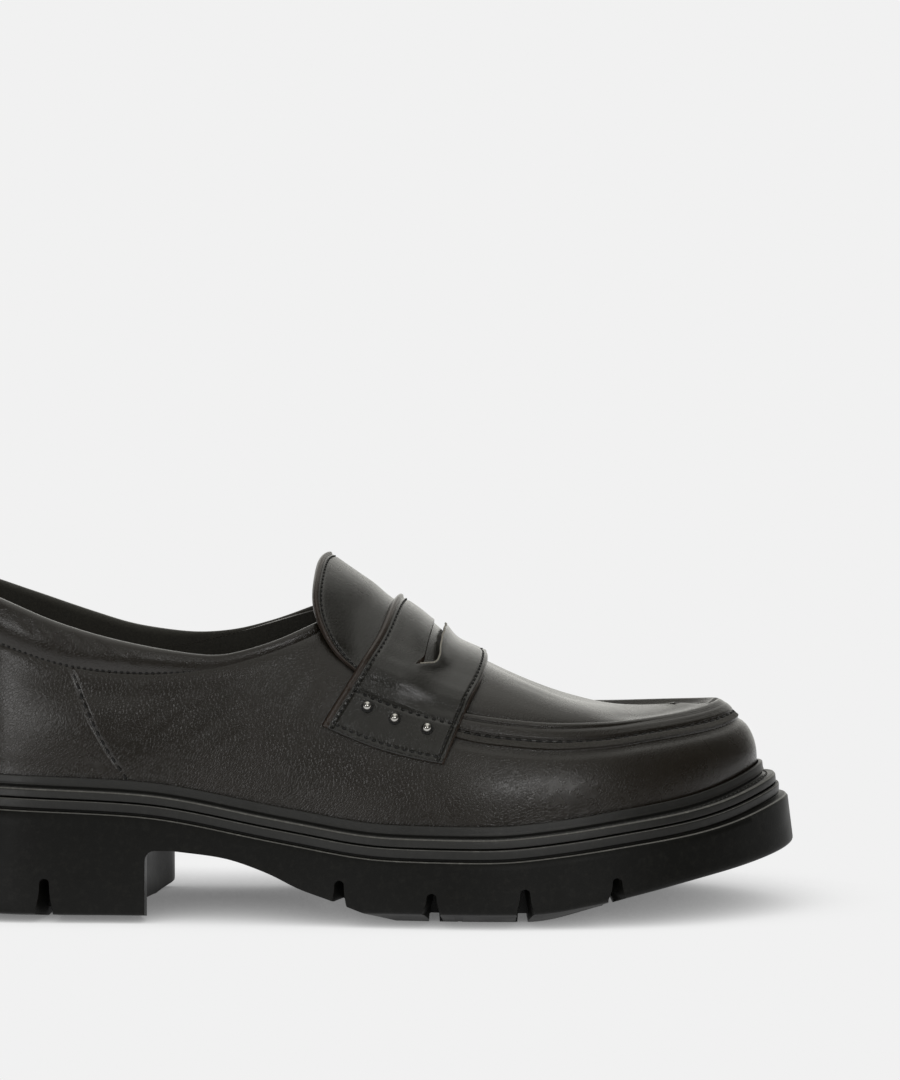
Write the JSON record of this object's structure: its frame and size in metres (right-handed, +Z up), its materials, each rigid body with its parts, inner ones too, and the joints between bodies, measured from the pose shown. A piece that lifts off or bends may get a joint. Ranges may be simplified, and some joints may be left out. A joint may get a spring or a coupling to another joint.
{
  "type": "studded loafer",
  "caption": "Right slip-on loafer with a raised moccasin seam, padded collar, bound tongue, slotted saddle strap with metal studs, stitched welt and a lugged rubber sole with a heel.",
  "frame": {"origin": "middle of the shoe's box, on the floor that the sole stands on", "axes": "+X towards the toe, -Y to the outer (lateral) side of this right shoe, +Z up"},
  "size_m": [0.2842, 0.1068, 0.1128],
  "materials": {
    "outsole_rubber": "matte moulded",
    "welt_rubber": "satin moulded",
    "sock_felt": "brushed textile",
    "upper_leather": "fine grain, soft gloss",
    "strap_leather": "fine grain, soft gloss",
    "stud_metal": "polished"
  },
  "bodies": {
    "root": {"outsole": "outsole_rubber", "welt": "welt_rubber", "insole": "sock_felt", "upper": "upper_leather", "tongue": "strap_leather", "strap": "strap_leather", "stud_lateral_1": "stud_metal", "stud_lateral_2": "stud_metal", "stud_lateral_3": "stud_metal", "stud_medial_1": "stud_metal", "stud_medial_2": "stud_metal", "stud_medial_3": "stud_metal"}
  },
  "joints": []
}
